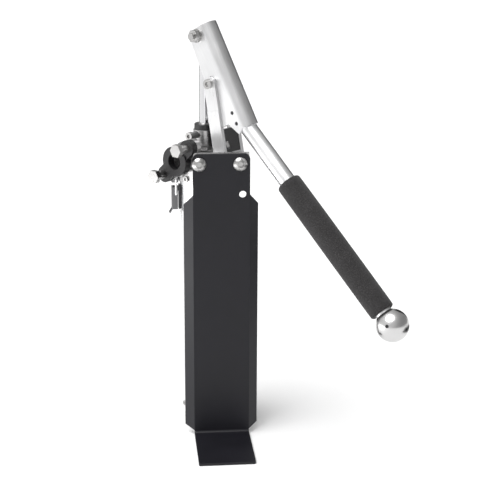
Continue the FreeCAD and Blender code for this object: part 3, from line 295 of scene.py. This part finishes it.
# %% Aluminium finishes
tube_bright = worked_metal("pump_tube_polish", BRIGHT, 0.2, draw=(700.0, 700.0, 9.0), depth=0.00003)
head_metal = worked_metal("head_machined", MACHINED, 0.28, draw=(60.0, 60.0, 1800.0))
lever_satin = worked_metal("lever_satin", SATIN, 0.36, euler_to(lever_down), draw=(1100.0, 1100.0, 22.0))
handle_satin = worked_metal("handle_tube_satin", BRIGHT, 0.34, euler_to(handle_down),
                            tuple(ball_centre), (1300.0, 1300.0, 26.0))
link_satin = worked_metal("link_bar_satin", LINK_SATIN, 0.3, euler_to(link_up), draw=(1200.0, 1200.0, 18.0))
ball_turned = turned_metal("ball_turned", TURNED, 0.24, euler_to(handle_down),
                           tuple(ball_centre), 1500.0)
cast_skin = worked_metal("cast_skin", SATIN, 0.42, draw=(500.0, 500.0, 500.0), depth=0.00012, edge=0.5 * MM)

# %% [markdown]
# Screws, pins and the rod are stainless steel. The rod is ground and polished and shows only a thin
# film of the seal's path; the screws are bright with turning marks on their domes; the set screws are
# blackened, and the latch base plates take the same near-black as painted shade for the shadow they
# stand in beside the tube.

# %% Steel finishes
rod_chrome = worked_metal("rod_ground", GROUND, 0.12, centre=tuple(rod_axis),
                          draw=(300.0, 300.0, 5.0), depth=0.00001, edge=0.0)
screw_steel = worked_metal("stainless_screw", STEEL, 0.3, draw=(420.0, 420.0, 420.0), depth=0.00002)
pin_steel = turned_metal("stainless_pin", STEEL, 0.22, euler_to(through_pins), tuple(rod_axis), 1600.0)
latch_steel = worked_metal("latch_steel", DULL_STEEL, 0.34, draw=(900.0, 40.0, 900.0), depth=0.00003)
wire_steel = worked_metal("latch_wire", BRIGHT, 0.25, draw=(900.0, 900.0, 30.0), depth=0.00002)
dark_steel_and_painted_shade = worked_metal("blackened_steel_and_painted_shade", BLACKENED_AND_SHADE, 0.38, draw=(600.0, 600.0, 600.0),
                          depth=0.00005)


# %% [markdown]
# The last hard finishes are not metal: the gland nut is moulded plastic with a fine spark texture, the
# seals are rubber, and the packing behind the nut is a plaited cord, so its strands cross. The link
# spacer gets the same black plastic as painted shade for the shadowed gap between the link bars.

# %% Plastic, rubber and packing
def moulded(name, tint, gloss, size, depth):
    recipe = Recipe(name, Metallic=0.0, Specular_IOR_Level=0.5)
    here = place(recipe)
    cell = grain(recipe, here, size, 2.0)
    cloud = grain(recipe, here, 40.0, 2.0)
    low = tuple(0.7 * part for part in tint)
    high = tuple(1.3 * part for part in tint)
    colour = ramp(recipe, cell * 0.5 + cloud * 0.5, [(0.3, low), (0.7, high)])
    rough = between(recipe, cloud, gloss - 0.06, gloss + 0.06)
    skin = relief(recipe, cell, depth, 0.5, 0.3 * MM)
    return recipe.drive(Base_Color=colour, Roughness=rough, Normal=skin)


def plaited(name, tint):
    recipe = Recipe(name, Metallic=0.0, Specular_IOR_Level=0.3)
    here = place(recipe, centre=tuple(rod_axis))
    bands = []
    for slant in (1.0, -1.0):
        lean = stretched(recipe, here, (300.0, 300.0, 420.0 * slant))
        settings = {"wave_type": "BANDS", "bands_direction": "DIAGONAL"}
        bands.append(recipe.add("ShaderNodeTexWave", settings, {"Vector": lean, "Scale": 1.0}, output=1))
    weave = bands[0] * bands[1]
    colour = ramp(recipe, weave, [(0.0, tuple(0.55 * part for part in tint)), (0.6, tint)])
    rough = between(recipe, weave, 0.7, 0.9)
    return recipe.drive(Base_Color=colour, Roughness=rough, Normal=relief(recipe, weave, 0.0003))


# The same black also goes on the link spacer as painted shade between the link bars.
black_plastic_and_painted_shade = moulded("moulded_black_and_painted_shade", (0.02, 0.02, 0.021), 0.4, 1800.0, 0.00004)
seal_rubber = moulded("seal_rubber", (0.014, 0.014, 0.014), 0.62, 1100.0, 0.00008)
packing_fibre = plaited("packing_plait", (0.62, 0.59, 0.5))

# %% [markdown]
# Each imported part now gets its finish. A table from finish to parts keeps this readable, and a check at
# the end makes sure that no part was forgotten.

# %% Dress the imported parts
finishes = {
    plate_coat: ["foot_plate"],
    casting_coat: ["outlet_flange"],
    tube_bright: ["pump_tube"],
    head_metal: ["head_block", "mount_bar"],
    cast_skin: ["intake_body", "intake_foot", "piston_plate"],
    lever_satin: ["lever_head"],
    handle_satin: ["handle_tube"],
    link_satin: ["link_near", "link_far"],
    ball_turned: ["ball_knob"],
    rod_chrome: ["piston_rod"],
    screw_steel: ["plate_screws", "head_screws", "outlet_bolts", "outlet_spacers", "intake_screws",
                  "bleed_plug", "rod_eye", "rod_stop", "rod_wiper", "piston_nut", "flap_keeper",
                  "foot_valve_disc", "valve_keeper"],
    pin_steel: ["rod_pin_bolt", "rod_pin_nut", "rod_pin_washers", "link_pin", "link_bolts", "pivot_bolt"],
    latch_steel: ["latch_lever_left", "latch_lever_right", "latch_strike_left", "latch_strike_right"],
    wire_steel: ["latch_bail_left", "latch_bail_right"],
    # latch_base_left and latch_base_right are near-black as painted shade, not as a blackened finish.
    dark_steel_and_painted_shade: ["latch_base_left", "latch_base_right", "lever_set_screws", "knob_set_screw", "link_bush"],
    # link_spacer is black as painted shade for the shadowed gap between the link bars.
    black_plastic_and_painted_shade: ["gland_nut", "rod_pin_shims", "link_spacer"],
    seal_rubber: ["tube_seal", "outlet_gasket", "piston_cup", "piston_flap"],
    packing_fibre: ["gland_packing"],
}


def dress(piece, material):
    piece.data.materials.clear()
    piece.data.materials.append(material)


for material, names in finishes.items():
    for name in names:
        dress(nodes[name], material)
dressed = {name for names in finishes.values() for name in names}
print("parts without a finish:", sorted(set(nodes) - dressed))


# %% [markdown]
# The grip is a tube of foam pushed over the handle. Its ends are cut and buffed to a small bevel, its
# wall swells a little between them, and its skin is a fine open cell with pale specks, painted glints
# where cell rims catch light. A profile spun round the handle's axis gives the tube, and a few loops
# more than the shape needs let the wall swell.

# %% Find the grip's axis and size from its imported solid
def rod_in_box(node, direction, radius, bevel):
    """Middle and length of a cylinder with bevelled ends, from its radius, direction and box."""
    low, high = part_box(node)
    slope = abs(direction.z)
    length = ((high.z - low.z) - 2 * radius * math.sqrt(1 - slope * slope)) / slope + 2 * bevel
    return (low + high) / 2, length


GRIP_RADIUS = 19.0 * MM
GRIP_BEVEL = 2.5 * MM
TUBE_RADIUS = 12.7 * MM
grip_middle, grip_length = rod_in_box("foam_grip", handle_down, GRIP_RADIUS, GRIP_BEVEL)
grip_top = grip_middle - handle_down * grip_length / 2
print("grip is", round(grip_length, 4), "m long")


# %% Spin a profile round an axis
def spun(name, profile, start, direction, steps=96):
    """A closed ring of (along, out) points spun round the axis into one mesh at the origin."""
    mesh = bmesh.new()
    turn = direction.to_track_quat("Z", "Y").to_matrix().to_4x4()
    world = Matrix.Translation(start) @ turn
    points = [mesh.verts.new((out, 0.0, along)) for along, out in profile]
    edges = [mesh.edges.new((a, b)) for a, b in zip(points, points[1:] + points[:1])]
    bmesh.ops.spin(mesh, geom=points + edges, cent=(0, 0, 0), axis=(0, 0, 1), dvec=(0, 0, 0),
                   angle=math.tau, steps=steps, use_merge=True, use_duplicate=False)
    bmesh.ops.remove_doubles(mesh, verts=mesh.verts[:], dist=1e-6)
    bmesh.ops.recalc_face_normals(mesh, faces=mesh.faces[:])
    bmesh.ops.transform(mesh, matrix=world, verts=mesh.verts[:])
    data = bpy.data.meshes.new(name)
    mesh.to_mesh(data)
    mesh.free()
    data.shade_smooth()
    piece = bpy.data.objects.new(name, data)
    bpy.context.scene.collection.objects.link(piece)
    print(name, "has", len(data.polygons), "faces")
    return piece


# %% [markdown]
# Closed-cell foam is dull and nearly black, but each cut cell catches light on its rim; that light is
# painted into the colour as pale specks, so they are painted glints. Two sizes of cells do it: a Voronoi
# distance for the pits and a sharp noise for the pale specks on them.

# %% Foam for the grip
def foam(name):
    recipe = Recipe(name, Metallic=0.0, Specular_IOR_Level=0.25, Sheen_Weight=0.12, Sheen_Roughness=0.6)
    here = place(recipe)
    pits = recipe.add("ShaderNodeTexVoronoi", {}, {"Vector": here, "Scale": 900.0})
    fine = grain(recipe, here, 1900.0, 2.0, 0.7)
    cloud = grain(recipe, here, 30.0, 2.0)
    # speck lifts the colour on the cell rims: painted glints, not a paler foam.
    speck = between(recipe, fine * 0.7 + pits * 0.5, 0.0, 1.0)
    glint_and_cloud_tone = speck * 0.7 + cloud * 0.3
    stops = [(0.2, (0.006, 0.0055, 0.0055)), (0.6, (0.014, 0.013, 0.0133)), (0.95, (0.05, 0.047, 0.049))]
    colour = ramp(recipe, glint_and_cloud_tone, stops)
    rough = between(recipe, fine, 0.72, 0.92)
    skin = relief(recipe, pits + fine * 0.6, 0.0003, 0.7)
    return recipe.drive(Base_Color=colour, Roughness=rough, Normal=skin)


foam_black = foam("grip_foam")

# %% Cut the grip
GRIP_SWELL = 0.25 * MM
inner = TUBE_RADIUS + 0.25 * MM
outer = GRIP_RADIUS - GRIP_SWELL
profile = [(0.0, inner), (0.0, outer - GRIP_BEVEL), (0.35 * GRIP_BEVEL, outer - 0.45 * GRIP_BEVEL),
           (GRIP_BEVEL, outer - 0.08 * GRIP_BEVEL)]
WALL_LOOPS = 24
for loop in range(1, WALL_LOOPS):
    share = loop / WALL_LOOPS
    profile.append((grip_length * share, outer + GRIP_SWELL * math.sin(math.pi * share)))
for along, out in reversed(profile[:4]):
    profile.append((grip_length - along, out))
grip = spun("grip_sleeve", profile, grip_top, handle_down)
dress(grip, foam_black)
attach(grip, "lever")
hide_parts("foam_grip")

# %% [markdown]
# The studio is a pale floor so wide that no horizon shows, under a sky that is brighter on the left. A
# broad sun overhead makes the soft main light and a low panel on the left lifts that side. Polished
# metal shows whatever stands round it, so both are wide.

# %% Floor
FLOOR_HALF = 40.0
sweep = bmesh.new()
bmesh.ops.create_grid(sweep, x_segments=1, y_segments=1, size=FLOOR_HALF)
floor_data = bpy.data.meshes.new("floor")
sweep.to_mesh(floor_data)
sweep.free()
floor = bpy.data.objects.new("floor", floor_data)
bpy.context.scene.collection.objects.link(floor)
floor.location.z = cad_low.z - 0.2 * MM
paper = Recipe("pale_floor", Metallic=0.0, Specular_IOR_Level=0.1, Roughness=0.9)
paper_cloud = grain(paper, place(paper), 2.0, 1.0)
paper_tone = ramp(paper, paper_cloud, [(0.3, (0.86, 0.86, 0.86)), (0.7, (0.9, 0.9, 0.9))])
dress(floor, paper.drive(Base_Color=paper_tone))

# %% World and sky
SKY_LOW, SKY_HIGH = 0.3, 0.75
world = bpy.data.worlds.new("studio")
world.use_nodes = True
sky = world.node_tree
look = sky.nodes.new("ShaderNodeTexCoord")
facing = sky.nodes.new("ShaderNodeVectorMath")
facing.operation = "DOT_PRODUCT"
facing.inputs[1].default_value = (-0.75, -0.1, 0.45)
sky.links.new(look.outputs["Generated"], facing.inputs[0])
spread = sky.nodes.new("ShaderNodeMapRange")
spread.interpolation_type = "SMOOTHSTEP"
for label, value in {"From Min": -0.5, "From Max": 0.75, "To Min": SKY_LOW, "To Max": SKY_HIGH}.items():
    spread.inputs[label].default_value = value
sky.links.new(facing.outputs["Value"], spread.inputs["Value"])
sky.nodes["Background"].inputs["Color"].default_value = (1.0, 1.0, 1.0, 1.0)
sky.links.new(spread.outputs["Result"], sky.nodes["Background"].inputs["Strength"])
bpy.context.scene.world = world
bpy.context.scene.view_settings.view_transform = "Standard"


# %% Lamps
def lamp_at(name, kind, spot, aim, power, **settings):
    """A lamp at `spot` facing `aim`; it lights the pump but is never seen itself."""
    data = bpy.data.lights.new(name, kind)
    data.energy = power
    for label, value in settings.items():
        setattr(data, label, value)
    lamp = bpy.data.objects.new(name, data)
    lamp.location = spot
    lamp.rotation_mode = "QUATERNION"
    lamp.rotation_quaternion = (Vector(aim) - Vector(spot)).to_track_quat("-Z", "Y")
    lamp.visible_camera = False
    bpy.context.scene.collection.objects.link(lamp)
    return lamp


SUN_POWER, SUN_WIDTH = 2.75, math.radians(50.0)
LOW_CARD_POWER = 2.4
pump_middle = Vector((0.02, 0.06, 0.33))
pump_foot = Vector((-0.02, 0.06, 0.2))
lamp_at("overhead_sun", "SUN", (-1.0, -0.6, 3.0), pump_middle, SUN_POWER, angle=SUN_WIDTH)
lamp_at("low_card", "AREA", (-0.75, -0.1, 0.08), pump_foot, LOW_CARD_POWER,
        shape="RECTANGLE", size=0.8, size_y=0.3, use_shadow=False)

# %% [markdown]
# Bright metal on a white floor loses its edges, so a studio stands black cards just out of shot. They
# throw no shadow here and are seen only in reflections: a tall one behind on each side draws a dark line
# down the edge of every rod and screw, and one lying on the right darkens the plate's right side.

# %% Felt for the cards
felt = Recipe("card_felt", Metallic=0.0, Specular_IOR_Level=0.0, Roughness=1.0)
felt_nap = grain(felt, place(felt), 40.0, 1.0)
felt_tone = ramp(felt, felt_nap, [(0.3, (0.01, 0.01, 0.01)), (0.7, (0.014, 0.014, 0.014))])
card_black = felt.drive(Base_Color=felt_tone)


# %% Black cards that show only in reflections
def black_card(name, spot, aim, wide, tall):
    sheet = bmesh.new()
    bmesh.ops.create_grid(sheet, x_segments=1, y_segments=1, size=0.5)
    turn = (Vector(aim) - Vector(spot)).to_track_quat("Z", "Y").to_matrix().to_4x4()
    world_place = Matrix.Translation(spot) @ turn @ Matrix.Diagonal((wide, tall, 1.0, 1.0))
    bmesh.ops.transform(sheet, matrix=world_place, verts=sheet.verts[:])
    data = bpy.data.meshes.new(name)
    sheet.to_mesh(data)
    sheet.free()
    card = bpy.data.objects.new(name, data)
    bpy.context.scene.collection.objects.link(card)
    card.visible_camera = False
    card.visible_diffuse = False
    card.visible_shadow = False
    dress(card, card_black)
    return card


black_card("card_back_left", (-0.6, 1.3, 0.5), pump_middle, 0.8, 1.6)
black_card("card_back_right", (0.95, 1.2, 0.5), pump_middle, 0.6, 1.6)
black_card("card_low_right", (1.05, 0.1, 0.001), (1.05, 0.1, 1.0), 0.9, 0.9)

# %% [markdown]
# The camera stands nearly two metres away with a long lens, a little above the pump and a little to
# the left of straight on, and leans by a third of a degree.

# %% Camera
LENS = 93.6
SENSOR = 36.0
AIM_POINT = Vector((0.0432, 0.056, 0.3028))
FAR = 1.977
AZIMUTH = math.radians(5.83)
ELEVATION = math.radians(16.466)
ROLL = math.radians(0.33)
toward = Vector((-math.sin(AZIMUTH) * math.cos(ELEVATION), -math.cos(AZIMUTH) * math.cos(ELEVATION),
                 math.sin(ELEVATION)))
camera_data = bpy.data.cameras.new("camera")
camera_data.sensor_width = SENSOR
camera_data.lens = LENS
camera_data.clip_start = 0.05
camera = bpy.data.objects.new("camera", camera_data)
camera.location = AIM_POINT + toward * FAR
camera.rotation_mode = "QUATERNION"
roll_turn = Matrix.Rotation(ROLL, 3, "Z").to_quaternion()
camera.rotation_quaternion = (-toward).to_track_quat("-Z", "Y") @ roll_turn
bpy.context.scene.collection.objects.link(camera)
bpy.context.scene.camera = camera
